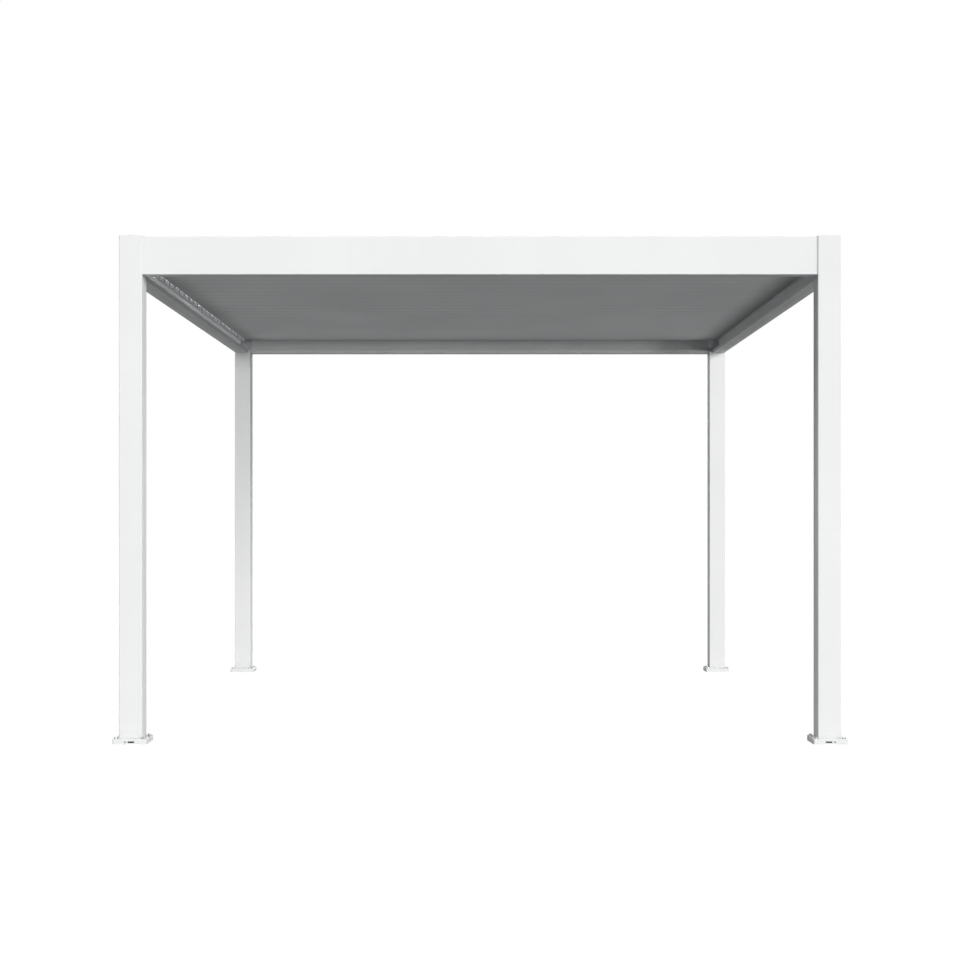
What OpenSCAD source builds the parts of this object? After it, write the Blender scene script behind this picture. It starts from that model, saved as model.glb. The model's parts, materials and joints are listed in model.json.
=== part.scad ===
// Louvred patio cover: four posts on anchored feet carry a frame of gutter
// beams, and the frame carries a roof of tilting blades driven by one bar.
// Millimetres, +Z up, front towards -Y, origin on the ground at the middle.

/* [Overall] */
// Width over the outside faces of the posts, left to right
overall_w = 3600; // [2600:10:4300]
// Depth over the outside faces of the posts, front to back
overall_d = 4000; // [3200:10:4800]
// Clear height from the ground to the underside of the beams
clear_h = 2340; // [1900:10:2800]

/* [Posts] */
// Side of the square post tube
post_w = 115; // [100:1:140]
// Wall of the post tube
post_wall = 2.5; // [2:0.5:4]
// Outside corner radius of the post tube
post_r = 4; // [3:0.5:8]
// Outside diameter of the screw ports in the tube's corners
port_d = 10; // [8:1:12]
// Bore of the screw ports
port_bore = 4.5; // [3:0.5:5]
// Height of the cap on a post
cap_h = 6; // [4:1:12]
// Bevel round the top edge of a cap
cap_bevel = 2; // [1:0.5:3]

/* [Feet] */
// How far the foot casting stands out past the post, all round
foot_rim = 27.5; // [25:0.5:50]
// Height of the foot casting
foot_h = 26; // [20:1:40]
// Corner radius of the foot casting
foot_r = 6; // [3:1:10]
// Bevel round the top edge of the foot
foot_bevel = 2; // [1:0.5:3]
// Wall of the foot's skirt
foot_wall = 5; // [3:0.5:8]
// Thickness of the foot's top plate
foot_top = 8; // [5:1:12]
// Distance of the anchor holes from the foot's edges
anchor_edge = 15; // [13:0.5:20]
// Diameter of the anchor holes
anchor_d = 11; // [8:0.5:14]
// Diameter of the boss round each anchor hole
anchor_boss_d = 22; // [18:1:26]
// Height of the spigot that goes up inside the post
spigot_h = 90; // [50:5:150]
// Wall of the spigot
spigot_wall = 4; // [3:0.5:6]
// Gap between the spigot's cut corners and the post's screw ports
port_gap = 1; // [0.5:0.5:3]
// Gap between the spigot and the inside of the post
spigot_gap = 0.5; // [0.3:0.1:1]
// Width of the drain slot in the foot's outer face
drain_w = 34; // [20:1:50]
// Height of the drain slot
drain_h = 8; // [5:1:12]
// Height of the drain slot's middle above the ground
drain_z = 11; // [8:0.5:14]
// Distance of the drain slot from the post's middle, towards the inside
drain_shift = 8; // [0:1:20]
// Diameter of the set screw hole beside the drain slot
set_screw_d = 8; // [5:0.5:10]
// Distance of the set screw from the post's middle, towards the outside
set_screw_shift = 22; // [20:1:40]

/* [Beams and gutters] */
// Height of a beam
beam_h = 190; // [170:1:260]
// Width of the gutter on the beam's inner face
gutter_t = 46; // [36:1:50]
// Wall of the beam and gutter extrusions
beam_wall = 2.5; // [2:0.5:4]
// Distance of a beam's outer face behind the posts' outer face
beam_recess = 6; // [3:1:12]
// Thickness of the hollow beam
beam_t = 38; // [32:1:42]
// Height of the hollow gutter floor
floor_h = 12; // [8:1:20]
// Height of the gutter's inner lip above its underside
lip_h = 26; // [22:1:40]
// Diameter of the rounded bead along the lip
bead_d = 5; // [4:0.5:8]
// Number of cells in the hollow beam
beam_cells = 4; // [2:1:5]
// Radius of the beam's long outside edges
beam_r = 3; // [2:0.5:6]
// Thickness of the corner bracket plates
bracket_t = 3; // [2:0.5:5]

/* [Roof blades] */
// Number of tilting blades
blade_count = 25; // [18:1:25]
// Depth kept at the front and at the back for the fixed flashing
edge_zone = 56; // [50:1:90]
// Wall of the blade extrusion
blade_wall = 1.6; // [1.2:0.1:2.5]
// Radius of a blade's two lower corners
blade_corner_r = 4; // [3:0.5:6]
// Depth of a blade's flat underside below its axis
blade_drop = 20; // [16:1:26]
// Height of a blade's edges above its axis
blade_edge_h = 5; // [4:1:10]
// Height of a blade's crown above its axis
blade_crown_h = 18; // [12:1:26]
// Clearance between a blade's hooks and the next blade
hook_gap = 6; // [5:0.5:8]
// Height of the drain hook's top below the axis
hook_top = 4; // [2:1:6]
// Height of the rain lip's tip below the axis
rain_tip = 12; // [10:1:13]
// Clearance between the swinging blade and the gutter lip
swing_gap = 6; // [5:0.5:15]
// How far a blade's left end, where the drive is, reaches past the gutter lip
blade_overhang = 12; // [8:1:20]
// Clearance between a blade's right end plate and the bearing strip
strip_gap = 6; // [5:1:12]
// Clearance between the first blade and the front flashing
flashing_gap = 7; // [6:0.5:8]
// Height of the flashing's upright leg above the blade axis
flashing_leg = 24; // [15:1:40]

/* [Pivots and drive] */
// Thickness of the plate that closes a blade's end
end_plate_t = 3; // [2:0.5:4]
// Joint between a blade's end and its plate
end_joint = 0.3; // [0.2:0.1:0.5]
// Diameter of a blade's pivot pin
pivot_d = 12; // [8:1:14]
// Running clearance of a pin in its hole, all round
pin_fit = 0.05; // [0.02:0.01:0.1]
// Length of the pivot pin inside the blade
pin_grip = 30; // [20:1:60]
// Thickness of the bearing strip
strip_t = 8; // [6:1:10]
// Height of the bearing strip
strip_h = 24; // [20:1:30]
// Distance from a lever's pivot to its pin
lever_len = 45; // [40:1:50]
// Angle of a lever from straight down when the roof is closed
lever_angle = 45; // [40:1:50]
// Width of a lever's arm
lever_w = 12; // [8:0.5:13]
// Metal left round a lever's pivot boss
lever_boss_rim = 5; // [4:0.5:8]
// Metal left round a lever's pin
lever_eye_rim = 4; // [3:0.5:6]
// Thickness of a lever
lever_t = 4; // [3:0.5:5]
// Diameter of a lever's pin
lever_pin_d = 8; // [6:0.5:10]
// Height of the drive bar
bar_h = 20; // [18:1:24]
// Thickness of the drive bar
bar_t = 4; // [3:0.5:4.5]
// Gap between the levers and the drive bar
bar_gap = 1.5; // [1:0.5:2]
// Play of the lever pins in the bar's holes, apart from the middle one, all round
bar_play = 0.5; // [0.3:0.1:0.8]

/* [Hidden] */
$fn = 64;
// Cuts run past a face, and joined shapes run into each other, by this much
eps = 1;
SIDES = [["left", -1], ["right", 1]];
ENDS = [["front", -1], ["rear", 1]];

half_w = overall_w / 2;
half_d = overall_d / 2;
top_z = clear_h + beam_h;
lip_z = clear_h + lip_h;
gutter_z = clear_h + floor_h;
// Middle of a screw port, from the post's outer faces
port_at = post_wall + port_d / 2 - eps;
foot_w = post_w + 2 * foot_rim;
anchor_spacing = foot_w - 2 * anchor_edge;
// Inside face of a beam, from the posts' outer face
beam_face = beam_recess + beam_t;
// Inside face of a gutter lip, from the posts' outer face
lip_face = beam_face + gutter_t;
// Width of each of the two cells in a gutter's floor
floor_cell = (gutter_t - 3 * beam_wall) / 2;

// The blades share the depth between the front and the rear edge zones
pitch = (overall_d - 2 * beam_face - 2 * edge_zone) / blade_count;
// Two neighbours overlap by the rain lip, the drain hook and the gap between
blade_overlap = 2 * blade_wall + hook_gap;
blade_half = (pitch + blade_overlap) / 2;
body_half = blade_half - 2 * blade_wall - 2 * hook_gap;
swing_r = sqrt(blade_half * blade_half + blade_drop * blade_drop);
axis_z = lip_z + ceil(swing_r + swing_gap);
blade_end_x = half_w - lip_face + blade_overhang;
strip_x = half_w - beam_face;
// The right end has no drive beside it and runs up close to its strip
far_end_x = strip_x - strip_t - strip_gap - end_plate_t - end_joint;
lever_x = blade_end_x + end_joint + end_plate_t + lever_t;
bar_x = lever_x + bar_gap;
lever_y = lever_len * sin(lever_angle);
lever_z = -lever_len * cos(lever_angle);
// Radius of the crown arc through both edges of a blade
crown_rise = blade_crown_h - blade_edge_h;
crown_r = (body_half * body_half + crown_rise * crown_rise) / (2 * crown_rise);

function two_digits(n) = n < 10 ? str("0", n) : str(n);
function blade_name(n) = str("louvre_", two_digits(n));
function blade_y(n) = (n - (blade_count + 1) / 2) * pitch;

POSTS = [for (e = ENDS) for (s = SIDES) str("post_", e[0], "_", s[0])];
FEET = [for (e = ENDS) for (s = SIDES) str("foot_", e[0], "_", s[0])];
BLADES = [for (n = [1:blade_count]) blade_name(n)];

// ---- helpers ----

// Puts its children at a corner: local +x and +y run inwards from the post's outer corner
module at_corner(side, end) {
    translate([side * half_w, end * half_d, 0])
        flipped(side > 0, [1, 0, 0])
            flipped(end > 0, [0, 1, 0])
                children();
}

module flipped(flip, axis) {
    if (flip) mirror(axis) children();
    else children();
}

// Extrudes a profile drawn in depth and height along X, centred
module along_x(length) {
    translate([-length / 2, 0, 0])
        rotate([90, 0, 90])
            linear_extrude(length) children();
}

// Extrudes a profile drawn in width and height along Y, centred
module along_y(length) {
    translate([0, length / 2, 0])
        rotate([90, 0, 0])
            linear_extrude(length) children();
}

// A rectangle from the origin with round corners
module round_rect(size, r) {
    translate([r, 0]) square([size[0] - 2 * r, size[1]]);
    translate([0, r]) square([size[0], size[1] - 2 * r]);
    for (x = [r, size[0] - r], y = [r, size[1] - r])
        translate([x, y]) circle(r);
}

// A side view of a block with its top edges bevelled
module bevelled_side(w, h, bevel) {
    polygon([[0, 0], [w, 0], [w, h - bevel], [w - bevel, h], [bevel, h], [0, h - bevel]]);
}

// A square block from the origin, with round upright corners and a bevelled top
module bevelled_block(w, h, r, bevel) {
    intersection() {
        linear_extrude(h) round_rect([w, w], r);
        translate([w / 2, w / 2, 0]) along_x(w) translate([-w / 2, 0]) bevelled_side(w, h, bevel);
        translate([w / 2, w / 2, 0]) along_y(w) translate([-w / 2, 0]) bevelled_side(w, h, bevel);
    }
}

// ---- posts, caps and corner brackets ----

// The post extrusion: a square tube with a screw port in each corner
module post_profile() {
    inner = post_w - 2 * post_wall;
    difference() {
        union() {
            difference() {
                round_rect([post_w, post_w], post_r);
                translate([post_wall, post_wall]) round_rect([inner, inner], post_r - post_wall);
            }
            for (x = [port_at, post_w - port_at], y = [port_at, post_w - port_at])
                translate([x, y]) circle(d = port_d);
        }
        for (x = [port_at, post_w - port_at], y = [port_at, post_w - port_at])
            translate([x, y]) circle(d = port_bore);
    }
}

// Above the gutter floor the inner quarter is cut away, so both gutters drain
// into the post and the blade ends swing free
module post(side, end) {
    color("white") at_corner(side, end) difference() {
        translate([0, 0, foot_h]) linear_extrude(top_z - foot_h) post_profile();
        translate([beam_face, beam_face, gutter_z]) cube([post_w, post_w, beam_h]);
    }
}

module post_caps() {
    color("white")
        for (s = SIDES, e = ENDS)
            at_corner(s[1], e[1])
                translate([0, 0, top_z]) bevelled_block(post_w, cap_h, post_r, cap_bevel);
}

// Angles that close the cut-away quarter of each post behind the gutters
module corner_brackets() {
    reach = post_w - post_wall;
    back = beam_face - bracket_t;
    color("gainsboro")
        for (s = SIDES, e = ENDS)
            at_corner(s[1], e[1])
                translate([0, 0, gutter_z]) linear_extrude(top_z - gutter_z) {
                    translate([back, back]) square([reach - back, bracket_t]);
                    translate([back, back]) square([bracket_t, reach - back]);
                }
}

// ---- feet ----

// A cast foot: bevelled skirt, anchor bosses, ribs and a spigot inside the post
module foot(side, end) {
    middle = post_w / 2;
    color("white") at_corner(side, end) translate([middle, middle, 0]) difference() {
        union() {
            foot_shell();
            foot_spigot();
            for (x = [-1, 1], y = [-1, 1])
                translate([x, y, 0] * anchor_spacing / 2) cylinder(d = anchor_boss_d, h = foot_h);
            foot_ribs();
        }
        for (x = [-1, 1], y = [-1, 1])
            translate([x * anchor_spacing / 2, y * anchor_spacing / 2, -eps])
                cylinder(d = anchor_d, h = foot_h + 2 * eps);
        foot_outlets();
    }
}

module foot_shell() {
    inner = foot_w - 2 * foot_wall;
    difference() {
        translate([-foot_w / 2, -foot_w / 2, 0]) bevelled_block(foot_w, foot_h, foot_r, foot_bevel);
        translate([-inner / 2, -inner / 2, -eps])
            linear_extrude(foot_h - foot_top + eps)
                round_rect([inner, inner], max(foot_r - foot_wall, eps));
        translate([0, 0, foot_h - foot_top - eps])
            linear_extrude(foot_top + 2 * eps) spigot_outline(spigot_wall);
    }
}

module foot_spigot() {
    translate([0, 0, foot_h - foot_top])
        linear_extrude(foot_top + spigot_h) difference() {
            spigot_outline(0);
            spigot_outline(spigot_wall);
        }
}

// A square with its corners cut clear of the screw ports, set in by the given wall
module spigot_outline(inset) {
    side = post_w - 2 * post_wall - 2 * spigot_gap - 2 * inset;
    port_reach = sqrt(2) * (post_w / 2 - port_at) - port_d / 2;
    across = 2 * (port_reach - port_gap - inset);
    intersection() {
        square(side, center = true);
        rotate(45) square(across, center = true);
    }
}

module foot_ribs() {
    inner = foot_w - 2 * foot_wall;
    for (a = [45, 135])
        rotate(a) translate([-inner / 2, -foot_wall / 2, 0]) difference() {
            cube([inner, foot_wall, foot_h - foot_top + eps]);
            translate([inner / 4, -eps, -eps]) cube([inner / 2, foot_wall + 2 * eps, foot_h]);
        }
}

// The drain slot and the set screw hole in the outer face
module foot_outlets() {
    depth = foot_wall + 2 * eps;
    translate([drain_shift, -foot_w / 2 - eps, drain_z]) rotate([-90, 0, 0]) linear_extrude(depth) {
        square([drain_w - drain_h, drain_h], center = true);
        for (x = [-1, 1]) translate([x * (drain_w - drain_h) / 2, 0]) circle(d = drain_h);
    }
    translate([-set_screw_shift, -foot_w / 2 - eps, drain_z]) rotate([-90, 0, 0])
        cylinder(d = set_screw_d, h = depth);
}

// ---- beams and gutters ----

// The beam extrusion: u runs inwards from the outer face, v runs up
module beam_profile() {
    cell_h = (beam_h - (beam_cells + 1) * beam_wall) / beam_cells;
    difference() {
        round_rect([beam_t, beam_h], beam_r);
        for (n = [0:beam_cells - 1])
            translate([beam_wall, beam_wall + n * (cell_h + beam_wall)])
                square([beam_t - 2 * beam_wall, cell_h]);
    }
}

// The gutter extrusion, on the same axes: a back leg against the beam, a
// hollow floor flush with the beam's underside and a beaded inner lip
module gutter_profile() {
    leg_h = lip_h - bead_d / 2;
    translate([beam_t, 0]) difference() {
        union() {
            square([beam_wall, leg_h]);
            square([gutter_t - beam_r, floor_h]);
            translate([0, beam_r]) square([gutter_t, floor_h - beam_r]);
            translate([gutter_t - beam_r, beam_r]) circle(beam_r);
            translate([gutter_t - beam_wall, beam_r]) square([beam_wall, leg_h - beam_r]);
            translate([gutter_t - bead_d / 2, leg_h]) circle(d = bead_d);
        }
        for (n = [0, 1])
            translate([beam_wall + n * (floor_cell + beam_wall), beam_wall])
                square([floor_cell, floor_h - 2 * beam_wall]);
    }
}

// Front and rear extrusions run between the posts' side faces
module across_front(end) {
    flipped(end > 0, [0, 1, 0])
        translate([0, beam_recess - half_d, clear_h]) along_x(overall_w - 2 * post_w) children();
}

module along_side(side) {
    flipped(side > 0, [1, 0, 0])
        translate([beam_recess - half_w, 0, clear_h]) along_y(overall_d - 2 * post_w) children();
}

module cross_beam(end) {
    color("white") across_front(end) beam_profile();
}

module side_beam(side) {
    color("white") along_side(side) beam_profile();
}

module gutters() {
    color("white") {
        for (e = ENDS) across_front(e[1]) gutter_profile();
        for (s = SIDES) along_side(s[1]) gutter_profile();
    }
}

// ---- fixed flashings ----

// The front flashing catches the first blade's rain lip in a channel of its own
module front_flashing() {
    wall_y = -pitch / 2 - edge_zone;
    lip_y = -body_half - flashing_gap;
    color("white")
        translate([0, blade_y(1), axis_z]) along_x(2 * (strip_x - end_joint)) {
            translate([wall_y, -blade_drop]) square([blade_wall, blade_drop + flashing_leg]);
            translate([wall_y, -blade_drop]) square([lip_y - wall_y, blade_wall]);
            translate([lip_y - blade_wall, -blade_drop]) square([blade_wall, blade_drop - hook_top]);
        }
}

// The rear flashing drops its rain lip into the last blade's drain hook
module rear_flashing() {
    wall_y = pitch / 2 + edge_zone;
    lip_y = pitch - blade_half;
    color("white")
        translate([0, blade_y(blade_count), axis_z]) along_x(2 * (strip_x - end_joint)) {
            translate([wall_y - blade_wall, -rain_tip]) square([blade_wall, rain_tip + flashing_leg]);
            translate([lip_y, blade_edge_h - blade_wall]) square([wall_y - lip_y, blade_wall]);
            translate([lip_y, -rain_tip]) square([blade_wall, rain_tip + blade_edge_h]);
        }
}

// ---- roof blades ----

// The closed outline of a blade's body under its crown arc
module blade_body(inset) {
    w = body_half - inset;
    intersection() {
        translate([0, blade_crown_h - crown_r]) circle(crown_r - inset, $fn = 200);
        union() {
            translate([-w, blade_corner_r - blade_drop + inset])
                square([2 * w, blade_drop + blade_crown_h]);
            translate([blade_corner_r - w, inset - blade_drop])
                square([2 * (w - blade_corner_r), blade_drop]);
            for (y = [-1, 1])
                translate([y * (w - blade_corner_r), blade_corner_r - blade_drop + inset])
                    circle(blade_corner_r);
        }
    }
}

// The blade extrusion: hollow crowned body, drain hook behind, rain lip in front
module blade_profile() {
    boss_d = pivot_d + 2 * pin_fit + 2 * blade_wall;
    web_y = body_half / 2;
    difference() {
        union() {
            difference() {
                blade_body(0);
                blade_body(blade_wall);
            }
            intersection() {
                blade_body(blade_wall / 2);
                union() {
                    circle(d = boss_d);
                    for (y = [-web_y, 0, web_y])
                        translate([y - blade_wall / 2, -blade_drop])
                            square([blade_wall, blade_drop + blade_crown_h]);
                }
            }
            drain_hook();
            rain_lip();
        }
        circle(d = pivot_d + 2 * pin_fit);
    }
}

// The upturned channel that catches the next blade's drips
module drain_hook() {
    start = body_half - 1.5 * blade_corner_r;
    translate([start, -blade_drop]) square([blade_half - start, blade_wall]);
    translate([blade_half - blade_wall, -blade_drop]) square([blade_wall, blade_drop - hook_top]);
}

// The downturned edge that hangs in the blade before's drain hook
module rain_lip() {
    top = blade_edge_h - eps;
    translate([-blade_half, top - blade_wall])
        square([blade_half - body_half + blade_wall / 2, blade_wall]);
    translate([-blade_half, -rain_tip]) square([blade_wall, rain_tip + top]);
}

// One blade with its two end fittings; the left one carries the lever
module louvre(n) {
    color("whitesmoke") translate([0, blade_y(n), axis_z]) {
        translate([(far_end_x - blade_end_x) / 2, 0, 0]) along_x(far_end_x + blade_end_x) blade_profile();
        end_fitting(far_end_x);
        mirror([1, 0, 0]) end_fitting(blade_end_x);
        lever();
    }
}

// The end plate and pivot pin of a blade whose extrusion ends at end_x
module end_fitting(end_x) {
    tip_x = strip_x - eps;
    translate([end_x + end_joint + end_plate_t / 2, 0, 0]) along_x(end_plate_t) blade_body(0);
    translate([end_x - pin_grip, 0, 0]) rotate([0, 90, 0])
        cylinder(d = pivot_d, h = tip_x - end_x + pin_grip);
}

// The lever is let into the left end plate and carries the bar's pin
module lever() {
    translate([-lever_x, 0, 0]) rotate([90, 0, 90]) linear_extrude(lever_t + eps) {
        circle(d = pivot_d + 2 * lever_boss_rim);
        translate([lever_y, lever_z]) circle(d = lever_pin_d + 2 * lever_eye_rim);
        rotate(lever_angle - 90) translate([0, -lever_w / 2]) square([lever_len, lever_w]);
    }
    translate([-bar_x - bar_t - eps, lever_y, lever_z]) rotate([0, 90, 0])
        cylinder(d = lever_pin_d, h = bar_t + bar_gap + 2 * eps);
}

// ---- bearings and drive ----

// A strip on each side beam carries the blades' pivot pins
module bearing_strips() {
    reach = blade_y(blade_count) + strip_h;
    color("silver")
        for (s = SIDES)
            flipped(s[1] < 0, [1, 0, 0])
                difference() {
                    translate([strip_x - strip_t, -reach, axis_z - strip_h / 2])
                        cube([strip_t, 2 * reach, strip_h]);
                    for (n = [1:blade_count])
                        translate([strip_x - strip_t - eps, blade_y(n), axis_z]) rotate([0, 90, 0])
                            cylinder(d = pivot_d + 2 * pin_fit, h = strip_t + 2 * eps);
                }
}

// One flat bar links all the levers; it has a close fit on the middle pin only
module drive_bar() {
    first = blade_y(1) + lever_y;
    last = blade_y(blade_count) + lever_y;
    middle = ceil(blade_count / 2);
    color("silver")
        translate([-bar_x - bar_t, 0, axis_z + lever_z]) difference() {
            rotate([90, 0, 90]) linear_extrude(bar_t) {
                translate([first, -bar_h / 2]) square([last - first, bar_h]);
                for (y = [first, last]) translate([y, 0]) circle(d = bar_h);
            }
            for (n = [1:blade_count])
                translate([-eps, blade_y(n) + lever_y, 0]) rotate([0, 90, 0])
                    cylinder(d = lever_pin_d + 2 * (n == middle ? pin_fit : bar_play), h = bar_t + 2 * eps);
        }
}

// ---- assembly ----

for (s = SIDES, e = ENDS) {
    post(s[1], e[1]);
    foot(s[1], e[1]);
}
for (n = [1:blade_count])
    louvre(n);
post_caps();
corner_brackets();
cross_beam(-1);  // front_beam
cross_beam(1);  // rear_beam
side_beam(-1);  // left_beam
side_beam(1);  // right_beam
gutters();
front_flashing();
rear_flashing();
bearing_strips();
drive_bar();
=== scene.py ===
import json
import math

import bmesh
import bpy
from mathutils import Matrix, Vector

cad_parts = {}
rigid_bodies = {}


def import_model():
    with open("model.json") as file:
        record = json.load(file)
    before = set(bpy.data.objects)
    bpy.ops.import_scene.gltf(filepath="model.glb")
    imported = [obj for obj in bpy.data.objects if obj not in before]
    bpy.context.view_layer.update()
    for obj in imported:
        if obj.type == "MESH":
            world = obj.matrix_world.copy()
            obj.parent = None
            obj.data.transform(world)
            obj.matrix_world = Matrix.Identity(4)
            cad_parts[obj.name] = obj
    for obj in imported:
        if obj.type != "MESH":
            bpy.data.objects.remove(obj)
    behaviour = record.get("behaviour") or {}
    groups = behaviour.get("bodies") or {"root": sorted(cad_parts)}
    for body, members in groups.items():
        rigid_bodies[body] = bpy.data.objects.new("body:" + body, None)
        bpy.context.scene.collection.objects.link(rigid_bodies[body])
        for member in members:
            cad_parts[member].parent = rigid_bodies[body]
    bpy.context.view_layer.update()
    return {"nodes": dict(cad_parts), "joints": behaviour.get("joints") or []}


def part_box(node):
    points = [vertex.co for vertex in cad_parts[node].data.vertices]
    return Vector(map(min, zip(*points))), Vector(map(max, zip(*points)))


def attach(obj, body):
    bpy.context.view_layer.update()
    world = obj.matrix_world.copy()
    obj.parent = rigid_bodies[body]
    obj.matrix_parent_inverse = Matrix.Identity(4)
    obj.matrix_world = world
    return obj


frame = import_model()
nodes = frame["nodes"]
print("frame loaded,", len(nodes), "nodes")


# Short ways to write a node tree
def addNode(tree, kind, inputs=None, **settings):
    made = tree.nodes.new("ShaderNode" + kind)
    for name, value in settings.items():
        setattr(made, name, value)
    for name, value in (inputs or {}).items():
        feed(tree, made.inputs[name], value)
    return made


def feed(tree, socket, value):
    if isinstance(value, bpy.types.NodeSocket):
        tree.links.new(value, socket)
    else:
        socket.default_value = value


def calc(tree, operation, first, second=0.0, clamp=False):
    made = addNode(tree, "Math", {0: first, 1: second}, operation=operation)
    made.use_clamp = clamp
    return made.outputs[0]


def product(tree, first, second):
    return calc(tree, "MULTIPLY", first, second)


def stretch(tree, vector, factors):
    made = addNode(tree, "VectorMath", {0: vector, 1: factors}, operation="MULTIPLY")
    return made.outputs[0]


def rampTo(tree, value, fromLow, fromHigh):
    made = addNode(tree, "MapRange", {"Value": value, "From Min": fromLow, "From Max": fromHigh})
    made.interpolation_type = "SMOOTHSTEP"
    return made.outputs["Result"]


def noise(tree, vector, scale, detail, rough):
    made = addNode(tree, "TexNoise", {"Vector": vector, "Scale": scale, "Detail": detail,
                                      "Roughness": rough})
    return made.outputs["Fac"]


def openness(tree, inputs):
    return addNode(tree, "AmbientOcclusion", inputs, samples=8).outputs["AO"]


def partOf(tree, vector, axis):
    return addNode(tree, "SeparateXYZ", {"Vector": vector}).outputs[axis]


def mixColour(tree, amount, first, second):
    made = addNode(tree, "Mix", data_type="RGBA")
    feed(tree, made.inputs["Factor"], amount)
    feed(tree, made.inputs["A"], first)
    feed(tree, made.inputs["B"], second)
    return made.outputs["Result"]


def startGroup(name, takes, gives):
    group = bpy.data.node_groups.new(name, "ShaderNodeTree")
    for socketName, kind, value in takes:
        socket = group.interface.new_socket(socketName, in_out="INPUT",
                                            socket_type="NodeSocket" + kind)
        socket.default_value = value
    for socketName, kind in gives:
        group.interface.new_socket(socketName, in_out="OUTPUT", socket_type="NodeSocket" + kind)
    return group, group.nodes.new("NodeGroupInput"), group.nodes.new("NodeGroupOutput")


def useGroup(tree, group, inputs):
    made = tree.nodes.new("ShaderNodeGroup")
    made.node_tree = group
    for name, value in inputs.items():
        feed(tree, made.inputs[name], value)
    return made.outputs


# Baked powder: a fine orange peel, and the faint die lines of the extrusion under it
powder = {"peelShare": 0.6, "cloudScale": 1.7, "cloudRange": (0.3, 0.7), "gritScale": 900.0,
          "gritRange": (0.66, 0.74)}


def buildPowderSkin():
    group, take, give = startGroup(
        "powderSkin",
        [("Peel Scale", "Float", 420.0), ("Run", "Vector", (1.0, 1.0, 1.0)),
         ("Lines", "Float", 0.3)],
        [("Height", "Float"), ("Cloud", "Float"), ("Speck", "Float")])
    place = addNode(group, "TexCoord").outputs["Object"]
    peel = noise(group, place, take.outputs["Peel Scale"], 2.5, 0.55)
    lines = noise(group, stretch(group, place, take.outputs["Run"]), 1.0, 3.0, 0.6)
    height = calc(group, "ADD", product(group, peel, powder["peelShare"]),
                  product(group, lines, take.outputs["Lines"]))
    cloud = noise(group, place, powder["cloudScale"], 3.0, 0.6)
    grit = noise(group, place, powder["gritScale"], 1.0, 0.5)
    feed(group, give.inputs["Height"], height)
    feed(group, give.inputs["Cloud"], rampTo(group, cloud, *powder["cloudRange"]))
    feed(group, give.inputs["Speck"], rampTo(group, grit, *powder["gritRange"]))
    return group


# Where a coat is rubbed thin: narrow bands along edges, broken up
rub = {"turnedRange": (0.99, 0.8), "brokenRange": (0.35, 0.7)}


def buildEdgeRub():
    group, take, give = startGroup(
        "edgeRub", [("Radius", "Float", 0.0012), ("Break Scale", "Float", 35.0)],
        [("Mask", "Float")])
    place = addNode(group, "TexCoord").outputs["Object"]
    soft = addNode(group, "Bevel", {"Radius": take.outputs["Radius"]}, samples=4)
    flat = addNode(group, "NewGeometry").outputs["Normal"]
    facing = addNode(group, "VectorMath", {0: soft.outputs["Normal"], 1: flat},
                     operation="DOT_PRODUCT")
    turned = rampTo(group, facing.outputs["Value"], *rub["turnedRange"])
    patches = noise(group, place, take.outputs["Break Scale"], 4.0, 0.6)
    broken = rampTo(group, patches, *rub["brokenRange"])
    feed(group, give.inputs["Mask"], product(group, turned, broken))
    return group


# Painted shade over outside corners: a mask of faces turned half way between two axes darkens the
# coat there, so that rounded corners show no highlight
def buildCornerShade():
    group, take, give = startGroup("cornerShadeGroup", [("Amount", "Float", 0.15)], [("Mask", "Float")])
    turned = addNode(group, "TexCoord").outputs["Normal"]
    part = addNode(group, "SeparateXYZ", {"Vector": turned}).outputs
    total = None
    for first, second in (("X", "Y"), ("Y", "Z"), ("X", "Z")):
        both = calc(group, "ABSOLUTE", product(group, part[first], part[second]))
        total = both if total is None else calc(group, "ADD", total, both)
    doubled = calc(group, "MULTIPLY", total, 2.0, clamp=True)
    feed(group, give.inputs["Mask"], product(group, doubled, take.outputs["Amount"]))
    return group


# Painted shade: how far a spot lies back in a corner or a gap, and for undersides how close a wall
# stands beside it, found by looking sidelong; the shade is deeper on the right, where the strip
# lies close
beside = {"lean": 0.8, "keep": 0.6, "leftShare": 0.5, "rightShare": 1.0,
          "closeRange": (0.3, 0.9), "downRange": (-0.5, -0.95)}


def buildRecess():
    group, take, give = startGroup("recess", [("Reach", "Float", 0.03)],
                                   [("Mask", "Float"), ("Under Mask", "Float")])
    reach = take.outputs["Reach"]
    tucked = calc(group, "SUBTRACT", 1.0, openness(group, {"Distance": reach}), clamp=True)
    facing = addNode(group, "TexCoord").outputs["Normal"]
    downward = rampTo(group, partOf(group, facing, "Z"), *beside["downRange"])
    outward = addNode(group, "NewGeometry").outputs["Normal"]
    walls = []
    for across, share in ((-beside["lean"], beside["leftShare"]),
                          (beside["lean"], beside["rightShare"])):
        sidelong = addNode(group, "VectorMath",
                           {0: outward, 1: [beside["keep"]] * 3, 2: (across, 0.0, 0.0)},
                           operation="MULTIPLY_ADD").outputs[0]
        seen = openness(group, {"Distance": reach, "Normal": sidelong})
        closed = calc(group, "SUBTRACT", 1.0, seen, clamp=True)
        walls.append(product(group, rampTo(group, closed, *beside["closeRange"]), share))
    # both masks darken the colour as painted shade, not as dirt
    feed(group, give.inputs["Mask"], tucked)
    nearest = calc(group, "MAXIMUM", *walls)
    feed(group, give.inputs["Under Mask"], product(group, nearest, downward))
    return group


# Outdoor dirt: dust on what faces up, thin runs on upright faces, splashes near the ground
dirt = {"upRange": (0.35, 0.95), "patchScale": 9.0, "patchRange": (0.38, 0.72),
        "uprightRange": (0.35, 0.05), "runStretch": (38.0, 38.0, 0.8), "runRange": (0.52, 0.8),
        "splashHeight": 0.16, "splashScale": 70.0, "splashRange": (0.5, 0.66)}


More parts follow.
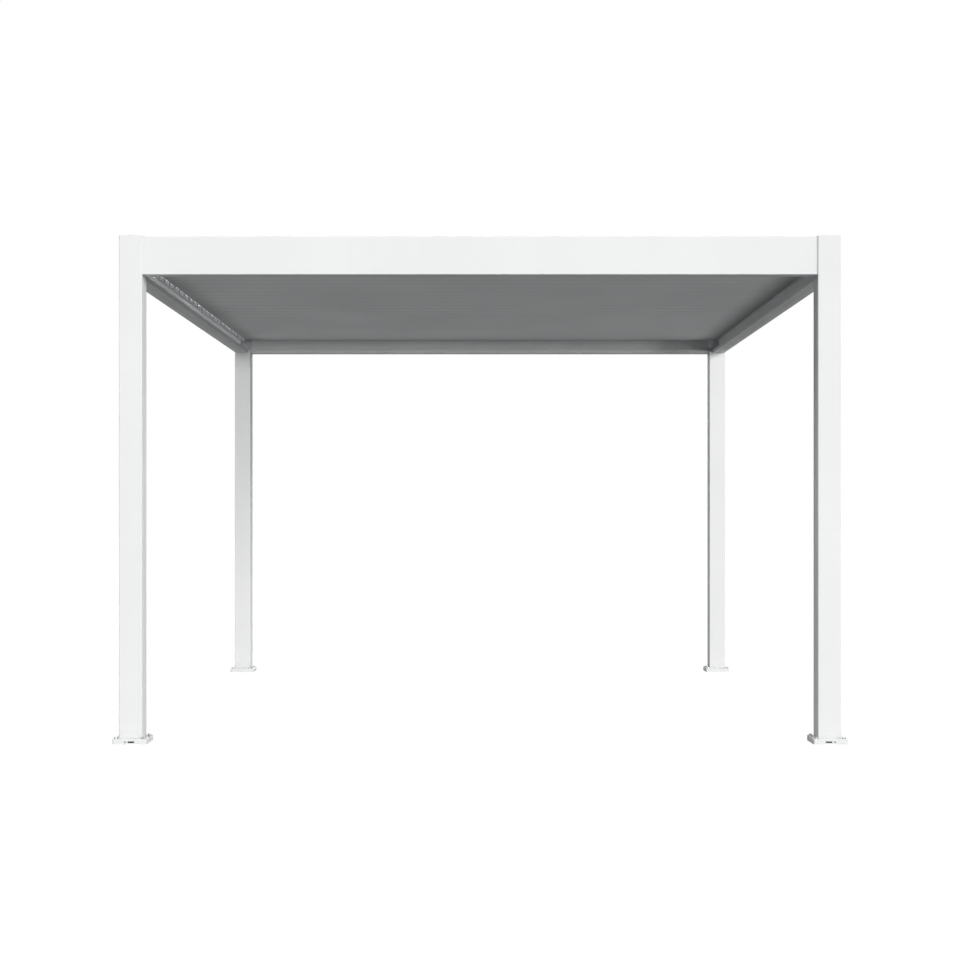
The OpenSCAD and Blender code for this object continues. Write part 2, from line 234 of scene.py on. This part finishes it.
def buildWeather():
    group, take, give = startGroup(
        "weather", [("Dust", "Float", 0.5), ("Runs", "Float", 0.4), ("Splash", "Float", 0.4)],
        [("Mask", "Float")])
    coords = addNode(group, "TexCoord")
    place = coords.outputs["Object"]
    facing = partOf(group, coords.outputs["Normal"], "Z")
    upward = rampTo(group, facing, *dirt["upRange"])
    cloud = noise(group, place, dirt["patchScale"], 5.0, 0.62)
    patches = rampTo(group, cloud, *dirt["patchRange"])
    dust = product(group, product(group, upward, patches), take.outputs["Dust"])
    streaks = noise(group, stretch(group, place, dirt["runStretch"]), 1.0, 4.0, 0.6)
    streaks = rampTo(group, streaks, *dirt["runRange"])
    upright = rampTo(group, calc(group, "ABSOLUTE", facing), *dirt["uprightRange"])
    runs = product(group, product(group, streaks, upright), take.outputs["Runs"])
    low = rampTo(group, partOf(group, place, "Z"), dirt["splashHeight"], 0.0)
    drops = noise(group, place, dirt["splashScale"], 4.0, 0.7)
    drops = rampTo(group, drops, *dirt["splashRange"])
    splash = product(group, product(group, low, drops), take.outputs["Splash"])
    total = calc(group, "ADD", calc(group, "ADD", dust, runs), splash, clamp=True)
    feed(group, give.inputs["Mask"], total)
    return group


# Mill finish: fine scratches along the run, and a dull oxide bloom in patches
mill = {"scratchRange": (0.3, 0.7), "bloomRange": (0.42, 0.68)}


def buildMillSkin():
    group, take, give = startGroup(
        "millSkin", [("Run", "Vector", (900.0, 12.0, 900.0)), ("Bloom Scale", "Float", 14.0)],
        [("Height", "Float"), ("Scratch", "Float"), ("Bloom", "Float")])
    place = addNode(group, "TexCoord").outputs["Object"]
    scratch = noise(group, stretch(group, place, take.outputs["Run"]), 1.0, 4.0, 0.65)
    bloom = noise(group, place, take.outputs["Bloom Scale"], 5.0, 0.62)
    feed(group, give.inputs["Height"], scratch)
    feed(group, give.inputs["Scratch"], rampTo(group, scratch, *mill["scratchRange"]))
    feed(group, give.inputs["Bloom"], rampTo(group, bloom, *mill["bloomRange"]))
    return group


powderSkin = buildPowderSkin()
edgeRub = buildEdgeRub()
cornerShadeGroup = buildCornerShade()
recess = buildRecess()
weather = buildWeather()
millSkin = buildMillSkin()
print("shared effects built")


def startMaterial(name):
    material = bpy.data.materials.new(name)
    material.use_nodes = True
    tree = material.node_tree
    return material, tree, tree.nodes["Principled BSDF"]


def addBump(tree, shader, height, strength, depth):
    bump = addNode(tree, "Bump", {"Strength": strength, "Distance": depth, "Height": height})
    feed(tree, shader.inputs["Normal"], bump.outputs["Normal"])


# White powder coat on extrusions and castings
coat = {
    "white": (0.868, 0.868, 0.868, 1.0),
    "shadeOfWhite": (0.846, 0.847, 0.848, 1.0),
    "dirt": (0.50, 0.47, 0.42, 1.0),
    # the colour of the painted shade in corners, gaps and beside walls
    "paintedShade": (0.20, 0.21, 0.21, 1.0),
    # primer colour, shown by specks and rubbed edges, and also used as painted shade on outside
    # corners
    "primerAndShade": (0.60, 0.61, 0.61, 1.0),
    "speckShare": 0.12,
    "dirtShare": 0.3,
    "rubShare": 0.35,
    # how strongly the painted shade darkens the coat
    "paintedShadeShare": 0.6,
    "roughness": 0.66,
    "dirtRoughness": 0.2,
    "cloudRoughness": 0.06,
    "specular": 0.22,
    "peelScale": 420.0,
    "lineAcross": 260.0,      # die lines to the metre, across the run
    "lineAlong": 1.2,
    "bump": 0.35,
    "bumpDepth": 0.00035,
}


# run is the axis of the die lines. reach is how near another face has to be for painted shade to
# darken the colour, and with underside only walls beside a face that looks down count
def coatMaterial(name, run=None, lines=0.3, dust=0.3, runs=0.08, splash=0.0, tone=1.0, grain=1.0,
                 reach=0.02, underside=False, cornerShade=0.4):
    material, tree, shader = startMaterial(name)
    lineScale = [coat["lineAcross"]] * 3
    if run is not None:
        lineScale["xyz".index(run)] = coat["lineAlong"]
    skin = useGroup(tree, powderSkin, {"Peel Scale": coat["peelScale"], "Run": lineScale,
                                       "Lines": lines if run else 0.0})
    rubbed = useGroup(tree, edgeRub, {})["Mask"]
    dirty = useGroup(tree, weather, {"Dust": dust, "Runs": runs, "Splash": splash})["Mask"]
    white = [c * tone for c in coat["white"][:3]] + [1.0]
    shade = [c * tone for c in coat["shadeOfWhite"][:3]] + [1.0]
    colour = mixColour(tree, skin["Cloud"], white, shade)
    colour = mixColour(tree, product(tree, skin["Speck"], coat["speckShare"]), colour,
                       coat["primerAndShade"])
    colour = mixColour(tree, product(tree, dirty, coat["dirtShare"]), colour, coat["dirt"])
    colour = mixColour(tree, product(tree, rubbed, coat["rubShare"]), colour, coat["primerAndShade"])
    # painted shade on rounded outside corners, in place of their highlight
    if cornerShade:
        corner = useGroup(tree, cornerShadeGroup, {"Amount": cornerShade})["Mask"]
        colour = mixColour(tree, corner, colour, coat["primerAndShade"])
    # painted shade: the colour darkens in corners and gaps, or for undersides beside walls, where
    # shade falls
    hidden = useGroup(tree, recess, {"Reach": reach})
    tucked = hidden["Under Mask"] if underside else hidden["Mask"]
    colour = mixColour(tree, product(tree, tucked, coat["paintedShadeShare"]), colour, coat["paintedShade"])
    feed(tree, shader.inputs["Base Color"], colour)
    rough = calc(tree, "ADD", coat["roughness"], product(tree, dirty, coat["dirtRoughness"]))
    rough = calc(tree, "ADD", rough, product(tree, skin["Cloud"], coat["cloudRoughness"]),
                 clamp=True)
    feed(tree, shader.inputs["Roughness"], rough)
    addBump(tree, shader, skin["Height"], coat["bump"], coat["bumpDepth"] * grain)
    shader.inputs["Specular IOR Level"].default_value = coat["specular"]
    return material


# Bare metal, dulled by oxide in patches and brighter where edges are worn
metal = {"wornRadius": 0.0006, "wornBreak": 60.0, "wornShare": 0.5, "wornLift": 1.15,
         "bloomRoughness": 0.16, "scratchRoughness": 0.08, "bump": 0.3, "bumpDepth": 0.00012}


def metalMaterial(name, colour, dull, roughness, run, bloomScale=14.0, oxide=0.12):
    material, tree, shader = startMaterial(name)
    skin = useGroup(tree, millSkin, {"Run": run, "Bloom Scale": bloomScale})
    worn = useGroup(tree, edgeRub, {"Radius": metal["wornRadius"],
                                    "Break Scale": metal["wornBreak"]})["Mask"]
    tint = mixColour(tree, skin["Bloom"], colour, dull)
    tint = mixColour(tree, product(tree, worn, metal["wornShare"]), tint,
                     [min(c * metal["wornLift"], 1.0) for c in colour])
    feed(tree, shader.inputs["Base Color"], tint)
    rough = calc(tree, "ADD", roughness, product(tree, skin["Bloom"], metal["bloomRoughness"]))
    rough = calc(tree, "ADD", rough, product(tree, skin["Scratch"], metal["scratchRoughness"]),
                 clamp=True)
    feed(tree, shader.inputs["Roughness"], rough)
    bare = calc(tree, "SUBTRACT", 1.0, product(tree, skin["Bloom"], oxide))
    feed(tree, shader.inputs["Metallic"], bare)
    addBump(tree, shader, skin["Height"], metal["bump"], metal["bumpDepth"])
    return material


# Moulded nylon of the pivot washers
plastic = {"colour": (0.78, 0.77, 0.73, 1.0), "worn": (0.66, 0.65, 0.62, 1.0), "wornShare": 0.6,
           "grain": 1500.0, "wornRadius": 0.0005, "wornBreak": 120.0, "roughness": 0.5,
           "cloudRoughness": 0.1, "bump": 0.3, "bumpDepth": 0.0001}


def plasticMaterial(name):
    material, tree, shader = startMaterial(name)
    skin = useGroup(tree, powderSkin, {"Peel Scale": plastic["grain"], "Run": (1.0, 1.0, 1.0),
                                       "Lines": 0.0})
    rubbed = useGroup(tree, edgeRub, {"Radius": plastic["wornRadius"],
                                      "Break Scale": plastic["wornBreak"]})["Mask"]
    tint = mixColour(tree, product(tree, rubbed, plastic["wornShare"]), plastic["colour"],
                     plastic["worn"])
    feed(tree, shader.inputs["Base Color"], tint)
    rough = calc(tree, "ADD", plastic["roughness"],
                 product(tree, skin["Cloud"], plastic["cloudRoughness"]))
    feed(tree, shader.inputs["Roughness"], rough)
    addBump(tree, shader, skin["Height"], plastic["bump"], plastic["bumpDepth"])
    return material


# The posts get painted shade within 5 cm of other parts, darker next to the feet and the beams
coatUpright = coatMaterial("coatUpright", "z", splash=0.5, reach=0.05)
coatAcross = coatMaterial("coatAcross", "x")
coatAlong = coatMaterial("coatAlong", "y")
coatPlain = coatMaterial("coatPlain", dust=0.35)
# The gutters are the same white coat, toned down as painted shade for the shade they stand in
coatGutter = coatMaterial("coatGutter", dust=0.8, tone=0.88)
# The blades get painted shade on their undersides beside the side walls, deeper on the right
coatBlade = coatMaterial("coatBlade", "x", lines=0.45, dust=0.42, runs=0.1, reach=0.2,
                         underside=True, cornerShade=0.0)
coatCast = coatMaterial("coatCast", splash=0.3, dust=0.4, grain=2.2)

aluminium = metalMaterial(
    "millAluminium", colour=(0.84, 0.85, 0.86, 1.0), dull=(0.72, 0.73, 0.75, 1.0),
    roughness=0.42, run=(900.0, 12.0, 900.0), oxide=0.6)
plateAluminium = metalMaterial(
    "plateAluminium", colour=(0.60, 0.61, 0.62, 1.0), dull=(0.50, 0.51, 0.52, 1.0),
    roughness=0.62, run=(300.0, 300.0, 20.0), oxide=0.8)
evenRun = (500.0, 500.0, 500.0)
steel = metalMaterial(
    "zincSteel", colour=(0.66, 0.67, 0.68, 1.0), dull=(0.52, 0.52, 0.50, 1.0),
    roughness=0.3, run=evenRun, bloomScale=60.0)
anchorSteel = metalMaterial(
    "anchorSteel", colour=(0.44, 0.45, 0.46, 1.0), dull=(0.34, 0.34, 0.34, 1.0),
    roughness=0.42, run=evenRun, bloomScale=60.0)
blackSteel = metalMaterial(
    "blackSteel", colour=(0.09, 0.09, 0.095, 1.0), dull=(0.05, 0.05, 0.05, 1.0),
    roughness=0.45, run=evenRun, bloomScale=60.0)
nylon = plasticMaterial("nylonWhite")

# Each node's material, by the start of its name
nodeMaterials = {"post_front": coatUpright, "post_rear": coatUpright, "post_caps": coatPlain,
                 "foot_": coatCast, "louvre_": coatBlade, "gutters": coatGutter,
                 "left_beam": coatAlong, "right_beam": coatAlong,
                 "front_beam": coatAcross, "rear_beam": coatAcross,
                 "front_flashing": coatAcross, "rear_flashing": coatAcross,
                 "corner_brackets": plateAluminium, "bearing_strips": aluminium,
                 "drive_bar": aluminium}

for name, piece in nodes.items():
    material = next(m for start, m in nodeMaterials.items() if name.startswith(start))
    for slot in piece.material_slots:
        slot.material = material
print("materials on all nodes")


# Turned hardware is made from rings of points; a hex ring's size is its width across flats
def ringPoints(shape, size, height, segments):
    points = []
    for n in range(segments):
        angle = 2 * math.pi * n / segments
        radius = size
        if shape == "hex":
            radius = size / 2 / math.cos(angle % (math.pi / 3) - math.pi / 6)
        points.append(Vector((radius * math.cos(angle), radius * math.sin(angle), height)))
    return points


# Rings run from the middle of the underside, out, up and back to the middle of the top
def addTurned(mesh, rings, at, axis, turn=0.0, segments=24, hollow=False):
    place = Matrix.Translation(at) @ Vector(axis).to_track_quat("Z", "Y").to_matrix().to_4x4()
    place = place @ Matrix.Rotation(turn, 4, "Z")
    rows = [[mesh.verts.new(place @ p) for p in ringPoints(*ring, segments)] for ring in rings]
    pairs = list(zip(rows, rows[1:]))
    if hollow:
        pairs.append((rows[-1], rows[0]))
    else:
        mesh.faces.new(reversed(rows[0]))
        mesh.faces.new(rows[-1])
    for low, high in pairs:
        for n in range(segments):
            m = (n + 1) % segments
            mesh.faces.new((low[n], low[m], high[m], high[n]))


def finishPiece(mesh, name, material, body, smoothAngle=35):
    data = bpy.data.meshes.new(name)
    bmesh.ops.recalc_face_normals(mesh, faces=mesh.faces)
    mesh.to_mesh(data)
    mesh.free()
    piece = bpy.data.objects.new(name, data)
    bpy.context.scene.collection.objects.link(piece)
    data.materials.append(material)
    data.shade_smooth()
    data.set_sharp_from_angle(angle=math.radians(smoothAngle))
    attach(piece, body)


# The louvres' axes and the inner faces of the bearing strips, as the frame has them
mm = 0.001
joints = {j["child"]: j for j in frame["joints"]}
pivots = {body: Vector(j["pos_m"]) for body, j in joints.items() if body != "drive_bar"}
pivotYs = [pivot.y for pivot in pivots.values()]      # from the front to the rear
pitch = (pivotYs[-1] - pivotYs[0]) / (len(pivotYs) - 1)
strip = {"thick": 8.0}      # in mm
stripLow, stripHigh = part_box("bearing_strips")
stripFace = stripHigh.x - strip["thick"] * mm


def panRings(d):
    r, h, af = d["radius"] * mm, d["height"] * mm, d["socketAf"] * mm
    return [("round", r * 0.96, 0.0), ("round", r, h * 0.12), ("round", r, h * 0.35),
            ("round", r * 0.93, h * 0.68), ("round", r * 0.74, h * 0.92), ("round", r * 0.6, h),
            ("hex", af, h), ("hex", af, h * 0.35), ("round", af * 0.2, h * 0.25)]


# One anchor bolt and washer in each hole of the four feet, in mm
anchor = {"washerR": 10.0, "washerT": 2.0, "washerEdge": 0.3, "headAf": 16.0, "headH": 6.4,
          "collarR": 8.256, "collarH": 0.4, "headBevel": 0.8, "fromMiddle": 70.0, "footTop": 26.0}


def anchorRings():
    r, t, edge = anchor["washerR"] * mm, anchor["washerT"] * mm, anchor["washerEdge"] * mm
    af, top = anchor["headAf"] * mm, (anchor["washerT"] + anchor["headH"]) * mm
    return [("round", r - edge, 0.0), ("round", r, edge), ("round", r, t - edge),
            ("round", r - edge, t), ("round", anchor["collarR"] * mm, t),
            ("hex", af, t + anchor["collarH"] * mm), ("hex", af, top - anchor["headBevel"] * mm),
            ("round", af * 0.49, top), ("round", af * 0.2, top)]


def buildAnchors():
    mesh = bmesh.new()
    out = anchor["fromMiddle"] * mm
    for foot in [n for n in nodes if n.startswith("foot_")]:
        low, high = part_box(foot)
        middle = (low + high) / 2
        for x, y in ((-out, -out), (out, -out), (-out, out), (out, out)):
            at = Vector((middle.x + x, middle.y + y, anchor["footTop"] * mm))
            addTurned(mesh, anchorRings(), at, (0, 0, 1), turn=x * 40 + y * 13)
    finishPiece(mesh, "anchor_bolts", anchorSteel, "frame")


# A socket set screw, set back in the hole beside each drain slot, in mm
setScrew = {"radius": 3.9, "length": 6.0, "pointBevel": 0.6, "topBevel": 0.5, "socketAf": 4.0,
            "socketDepth": 2.5, "setBack": 2.0, "fromMiddle": 22.0, "height": 11.0}


def setScrewRings():
    r, af, length = setScrew["radius"] * mm, setScrew["socketAf"] * mm, setScrew["length"] * mm
    deep = setScrew["socketDepth"] * mm
    return [("round", r * 0.8, -length), ("round", r, -length + setScrew["pointBevel"] * mm),
            ("round", r, -setScrew["topBevel"] * mm), ("round", r * 0.88, 0.0), ("hex", af, 0.0),
            ("hex", af, -deep), ("round", af * 0.2, -deep * 1.2)]


def buildSetScrews():
    mesh = bmesh.new()
    aside, back = setScrew["fromMiddle"] * mm, setScrew["setBack"] * mm
    for end, outward in (("front", -1), ("rear", 1)):
        for side, towards in (("left", -1), ("right", 1)):
            low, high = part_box(f"foot_{end}_{side}")
            face = low.y if end == "front" else high.y
            at = Vector(((low.x + high.x) / 2 + towards * aside, face - outward * back,
                         setScrew["height"] * mm))
            addTurned(mesh, setScrewRings(), at, (0, outward, 0))
    finishPiece(mesh, "set_screws", blackSteel, "frame")


# Screws that hold the flashings and the bearing strips to the beams, in mm
panScrew = {"radius": 4.6, "height": 2.6, "socketAf": 2.5, "inFlashing": 12, "spacing": 290.0,
            "flashingWall": 1.6, "belowEdge": 10.0}


def buildFrameScrews():
    mesh = bmesh.new()
    wall = panScrew["flashingWall"] * mm
    for name, facing in (("front_flashing", 1), ("rear_flashing", -1)):
        low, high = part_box(name)
        face = low.y + wall if facing > 0 else high.y - wall
        for n in range(panScrew["inFlashing"]):
            x = (n - (panScrew["inFlashing"] - 1) / 2) * panScrew["spacing"] * mm
            at = Vector((x, face, high.z - panScrew["belowEdge"] * mm))
            addTurned(mesh, panRings(panScrew), at, (0, facing, 0), n * 0.7)
    middle = (stripLow.z + stripHigh.z) / 2
    for side in (-1, 1):
        # half way between the pivots: the first and the last lie past the strips' ends
        for n in range(len(pivots) + 1):
            at = Vector((side * stripFace, pivotYs[0] + (n - 0.5) * pitch, middle))
            addTurned(mesh, panRings(panScrew), at, (-side, 0, 0), n * 0.9)
    finishPiece(mesh, "frame_screws", steel, "frame")


# Nylon washers between the bearing strips and the blades' end plates, in mm
washer = {"inner": 6.3, "outer": 10.0, "thick": 1.5, "outerBevel": 0.3, "innerBevel": 0.2}


def buildPivotWashers():
    mesh = bmesh.new()
    a, b, t = washer["inner"] * mm, washer["outer"] * mm, washer["thick"] * mm
    outerBevel, innerBevel = washer["outerBevel"] * mm, washer["innerBevel"] * mm
    rings = [("round", a, 0.0), ("round", b, 0.0), ("round", b, t - outerBevel),
             ("round", b - outerBevel, t), ("round", a + innerBevel, t),
             ("round", a, t - innerBevel)]
    for side in (-1, 1):
        for pivot in pivots.values():
            at = Vector((side * stripFace, pivot.y, pivot.z))
            addTurned(mesh, rings, at, (-side, 0, 0), hollow=True)
    finishPiece(mesh, "pivot_washers", nylon, "frame")


# Bolts through the corner brackets into the beams, in mm: inward is from the posts' outer
# faces to the plate, and along is from there to the bolts
bracketBolt = {"radius": 6.5, "height": 4.0, "socketAf": 4.0, "levels": (2392.0, 2440.0, 2488.0),
               "inward": 44.0, "along": 85.0}


def buildBracketBolts():
    mesh = bmesh.new()
    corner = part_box("post_rear_right")[1]
    inward, along = bracketBolt["inward"] * mm, bracketBolt["along"] * mm
    for sx in (-1, 1):
        for sy in (-1, 1):
            for z in [level * mm for level in bracketBolt["levels"]]:
                at = Vector((sx * (corner.x - inward), sy * (corner.y - along), z))
                addTurned(mesh, panRings(bracketBolt), at, (-sx, 0, 0), z * 9)
                at = Vector((sx * (corner.x - along), sy * (corner.y - inward), z))
                addTurned(mesh, panRings(bracketBolt), at, (0, -sy, 0), z * 7)
    finishPiece(mesh, "bracket_bolts", steel, "frame")


# Three screws in each end plate, in mm
endScrew = {"radius": 4.4, "proud": 0.5, "sunk": 1.2, "socketAf": 2.5, "socketDepth": 1.2,
            "leftFace": -1725.3, "rightFace": 1742.0,
            "places": ((-52.0, -8.0), (52.0, -8.0), (-22.0, 7.0))}
# The clip that keeps the drive bar on each lever's pin, in mm
clip = {"inner": 3.2, "outer": 7.0, "thick": 0.8, "outerBevel": 0.6, "innerBevel": 1.2,
        "play": 0.1}
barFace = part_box("drive_bar")[0].x
barJoint = joints["drive_bar"]
lever = Vector(barJoint["pos_m"]) - pivots[barJoint["parent"]]      # from an axis to its pin


def endScrewRings():
    r, h, af = endScrew["radius"] * mm, endScrew["proud"] * mm, endScrew["socketAf"] * mm
    floorH = h - endScrew["socketDepth"] * mm
    return [("round", r * 0.7, -endScrew["sunk"] * mm), ("round", r, 0.0001),
            ("round", r * 0.95, h * 0.7), ("round", r * 0.8, h), ("hex", af, h),
            ("hex", af, floorH), ("round", af * 0.2, floorH - 0.0002)]


def clipRings():
    a, b, t = clip["inner"] * mm, clip["outer"] * mm, clip["thick"] * mm
    return [("round", a, 0.0), ("round", b, 0.0), ("round", b, t * 0.5),
            ("round", b - clip["outerBevel"] * mm, t),
            ("round", a + clip["innerBevel"] * mm, t * 1.4), ("round", a, t * 1.1)]


def buildBladeHardware(louvre, pivot):
    mesh = bmesh.new()
    for side, face in ((-1, endScrew["leftFace"]), (1, endScrew["rightFace"])):
        for dy, dz in endScrew["places"]:
            at = Vector((face * mm, pivot.y + dy * mm, pivot.z + dz * mm))
            addTurned(mesh, endScrewRings(), at, (side, 0, 0), dy * mm * 30, segments=18)
    at = Vector((barFace - clip["play"] * mm, pivot.y + lever.y, pivot.z + lever.z))
    addTurned(mesh, clipRings(), at, (-1, 0, 0), segments=18, hollow=True)
    finishPiece(mesh, louvre + "_hardware", steel, louvre)


buildAnchors()
buildSetScrews()
buildFrameScrews()
buildPivotWashers()
buildBracketBolts()
for louvre, pivot in pivots.items():
    buildBladeHardware(louvre, pivot)
print("hardware built")


# 1 where the background itself is seen, by the camera, in gloss or through glass, and 0
# for the light that it sheds
def seenRay(tree):
    path = addNode(tree, "LightPath")
    seen = calc(tree, "MAXIMUM", path.outputs["Is Camera Ray"], path.outputs["Is Glossy Ray"])
    return calc(tree, "MAXIMUM", seen, path.outputs["Is Transmission Ray"])


floor = {"size": 90.0, "bounce": (0.178, 0.186, 0.188, 1.0), "seenDiffuse": (0.12, 0.12, 0.12, 1.0),
         "seenGlow": 0.93, "tuckedReach": 0.3, "openRange": (0.05, 0.45)}


def buildFloor():
    mesh = bmesh.new()
    bmesh.ops.create_grid(mesh, x_segments=1, y_segments=1, size=floor["size"])
    data = bpy.data.meshes.new("floor")
    mesh.to_mesh(data)
    mesh.free()
    piece = bpy.data.objects.new("floor", data)
    bpy.context.scene.collection.objects.link(piece)
    material = bpy.data.materials.new("paleFloor")
    material.use_nodes = True
    tree = material.node_tree
    tree.nodes.clear()
    bounce = addNode(tree, "BsdfDiffuse", {"Color": floor["bounce"]})
    shown = addNode(tree, "BsdfDiffuse", {"Color": floor["seenDiffuse"]})
    # painted shade on the floor: its glow dims where parts stand close above it, under and around
    # the feet
    above = openness(tree, {"Distance": floor["tuckedReach"]})
    uncovered = rampTo(tree, above, *floor["openRange"])
    glow = addNode(tree, "Emission", {"Color": (1.0, 1.0, 1.0, 1.0),
                                      "Strength": product(tree, uncovered, floor["seenGlow"])})
    bright = addNode(tree, "AddShader", {0: shown.outputs[0], 1: glow.outputs[0]})
    mixed = addNode(tree, "MixShader", {0: seenRay(tree), 1: bounce.outputs[0],
                                        2: bright.outputs[0]})
    addNode(tree, "OutputMaterial", {"Surface": mixed.outputs[0]})
    data.materials.append(material)
    piece.visible_shadow = False      # the low front light isn't cut off by it


# An even sky above the horizon, and none below it
ambient = {"colour": (0.985, 0.997, 1.0, 1.0), "strength": 0.27}


def buildWorld():
    world = bpy.data.worlds.new("studio")
    bpy.context.scene.world = world
    world.use_nodes = True
    tree = world.node_tree
    tree.nodes.clear()
    up = partOf(tree, addNode(tree, "TexCoord").outputs["Generated"], "Z")
    above = product(tree, ambient["strength"], calc(tree, "GREATER_THAN", up, 0.0))
    soft = addNode(tree, "Background", {"Color": ambient["colour"], "Strength": above})
    white = addNode(tree, "Background", {"Color": (1.0, 1.0, 1.0, 1.0), "Strength": 1.0})
    mixed = addNode(tree, "MixShader", {0: seenRay(tree), 1: soft.outputs[0], 2: white.outputs[0]})
    addNode(tree, "OutputWorld", {"Surface": mixed.outputs[0]})


# In degrees: the azimuth runs from the front (-Y) towards the right (+X). A white face
# square to a lamp shows as bright as its strength
lamps = {
    "frontLight": {"azimuth": 5.0, "elevation": 0.2, "strength": 0.455, "spread": 4.5},
    "rightLight": {"azimuth": 54.0, "elevation": 15.0, "strength": 0.58, "spread": 24.0},
    "topLight": {"azimuth": 90.0, "elevation": 69.0, "strength": 0.31, "spread": 4.0},
    "rearLight": {"azimuth": 180.0, "elevation": 12.0, "strength": 0.54, "spread": 12.0},
    "leftLight": {"azimuth": 270.0, "elevation": 40.0, "strength": 0.25, "spread": 9.0},
}


def buildLamps():
    for name, d in lamps.items():
        data = bpy.data.lights.new(name, "SUN")
        data.energy = d["strength"] * math.pi
        data.angle = math.radians(d["spread"])
        lamp = bpy.data.objects.new(name, data)
        bpy.context.scene.collection.objects.link(lamp)
        a, e = math.radians(d["azimuth"]), math.radians(d["elevation"])
        toLight = Vector((math.sin(a) * math.cos(e), -math.cos(a) * math.cos(e), math.sin(e)))
        lamp.rotation_mode = "QUATERNION"
        lamp.rotation_quaternion = toLight.to_track_quat("Z", "Y")


buildFloor()
buildWorld()
buildLamps()
print("floor, world and lamps ready")


# Level and square to the front, 1.1 m above the ground
view = {"place": (0.0, -10.214, 1.1187), "lens": 61.8, "sensor": 36.0, "shiftY": 0.0409,
        "clipEnd": 300.0}


def buildCamera():
    data = bpy.data.cameras.new("camera")
    data.lens = view["lens"]
    data.sensor_width = view["sensor"]
    data.shift_y = view["shiftY"]
    data.clip_end = view["clipEnd"]
    camera = bpy.data.objects.new("camera", data)
    bpy.context.scene.collection.objects.link(camera)
    camera.location = view["place"]
    camera.rotation_euler = (math.pi / 2, 0.0, 0.0)
    bpy.context.scene.camera = camera


buildCamera()
bpy.context.scene.view_settings.view_transform = "Standard"
print("scene ready")
